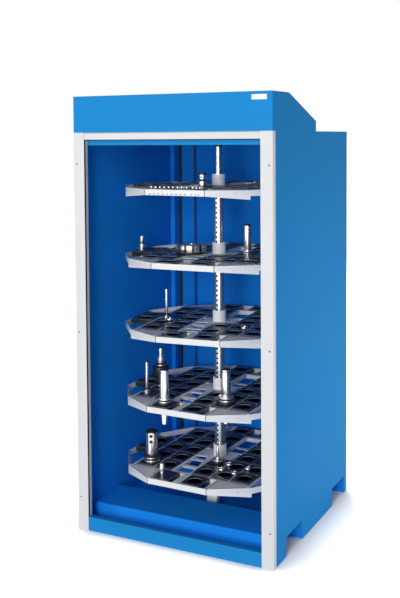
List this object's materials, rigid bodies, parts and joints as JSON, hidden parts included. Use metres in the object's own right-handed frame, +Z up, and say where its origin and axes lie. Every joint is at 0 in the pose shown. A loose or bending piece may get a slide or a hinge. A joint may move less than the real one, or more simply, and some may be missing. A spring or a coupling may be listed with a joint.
{
  "type": "rotary tool cabinet",
  "caption": "Floor-standing steel tool cabinet with a roller shutter and turning tool levels on a central perforated column, fork tunnels in its base",
  "frame": {"origin": "on the floor under the middle of the cabinet's outer box", "axes": "+Z up, the open front faces -Y, +X to the right seen from the front"},
  "size_m": [1.035, 1.05, 2.124],
  "materials": {
    "blue_coat": "blue powder coat, fine texture, satin",
    "rail_coat": "light grey powder coat, smooth satin",
    "frame_coat": "light grey powder coat on the levels' welded frames",
    "hub_metal": "turned aluminium, fine turning marks",
    "column_metal": "bright zinc-plated steel tube",
    "cassette_plastic": "black moulded plastic, fine texture",
    "tool_metal": "ground and polished tool steel",
    "bearing_black": "black moulded bearing housing",
    "washer_bronze": "oiled bronze thrust washer",
    "curtain_plastic": "light grey extruded shutter slats",
    "end_rail_metal": "light grey anodised bar",
    "seal_rubber": "black rubber lip",
    "zinc_steel": "zinc-plated steel",
    "screw_steel": "darkened steel screw heads",
    "bare_plate_white": "bare white plate"
  },
  "bodies": {
    "cabinet": {"side_panel_left": "blue_coat", "side_panel_right": "blue_coat", "back_wall_middle": "blue_coat", "back_wall_side_left": "blue_coat", "back_wall_side_right": "blue_coat", "back_skirt": "blue_coat", "seam_straps": "blue_coat", "corner_post_left": "blue_coat", "corner_post_right": "blue_coat", "top_panel": "blue_coat", "lintel": "blue_coat", "fork_tunnel_front": "blue_coat", "fork_tunnel_rear": "blue_coat", "floor_plates": "blue_coat", "front_sill": "blue_coat", "head_cover": "blue_coat", "head_end_left": "blue_coat", "head_end_right": "blue_coat", "top_beam": "blue_coat", "guide_rail_left": "rail_coat", "guide_rail_right": "rail_coat", "rail_screws": "screw_steel", "bare_plate": "bare_plate_white", "roller_brackets": "zinc_steel", "column": "column_metal", "column_journal": "column_metal", "column_foot": "frame_coat", "foot_bolts": "zinc_steel", "top_bearing": "bearing_black", "support_collars": "zinc_steel", "collar_pins": "zinc_steel", "thrust_washers": "washer_bronze"},
    "shutter": {"end_rail": "end_rail_metal", "end_rail_seal": "seal_rubber", "flat_curtain": "curtain_plastic"},
    "roller": {"rolled_curtain": "curtain_plastic", "roller_tube": "zinc_steel", "roller_plugs": "bearing_black", "counter_spring": "zinc_steel"},
    "level_1": {"level_1_frame": "frame_coat", "level_1_hub": "hub_metal", "level_1_cassettes": "cassette_plastic", "level_1_tools": "tool_metal"},
    "level_2": {"level_2_frame": "frame_coat", "level_2_hub": "hub_metal", "level_2_cassettes": "cassette_plastic", "level_2_tools": "tool_metal"},
    "level_3": {"level_3_frame": "frame_coat", "level_3_hub": "hub_metal", "level_3_cassettes": "cassette_plastic", "level_3_tools": "tool_metal"},
    "level_4": {"level_4_frame": "frame_coat", "level_4_hub": "hub_metal", "level_4_cassettes": "cassette_plastic", "level_4_tools": "tool_metal"},
    "level_5": {"level_5_frame": "frame_coat", "level_5_hub": "hub_metal", "level_5_cassettes": "cassette_plastic", "level_5_tools": "tool_metal"}
  },
  "joints": [
    {"name": "shutter_slide", "type": "slide", "parent": "cabinet", "child": "shutter", "axis": [0, 0, -1], "range_m": [0, 1.8437], "deforming": ["flat_curtain"]},
    {"name": "roller_turn", "type": "hinge", "parent": "cabinet", "child": "roller", "pos_m": [0, -0.42, 2.037], "axis": [1, 0, 0], "range_deg": [0, 1855]},
    {"name": "level_1_turn", "type": "hinge", "parent": "cabinet", "child": "level_1", "pos_m": [0, 0.016, 0.279], "axis": [0, 0, 1], "continuous": true},
    {"name": "level_2_turn", "type": "hinge", "parent": "cabinet", "child": "level_2", "pos_m": [0, 0.016, 0.629], "axis": [0, 0, 1], "continuous": true},
    {"name": "level_3_turn", "type": "hinge", "parent": "cabinet", "child": "level_3", "pos_m": [0, 0.016, 0.979], "axis": [0, 0, 1], "continuous": true},
    {"name": "level_4_turn", "type": "hinge", "parent": "cabinet", "child": "level_4", "pos_m": [0, 0.016, 1.329], "axis": [0, 0, 1], "continuous": true},
    {"name": "level_5_turn", "type": "hinge", "parent": "cabinet", "child": "level_5", "pos_m": [0, 0.016, 1.679], "axis": [0, 0, 1], "continuous": true}
  ],
  "couplings": [
    {"joint": "roller_turn", "follows": "shutter_slide", "rad_per_m": 17.5}
  ]
}
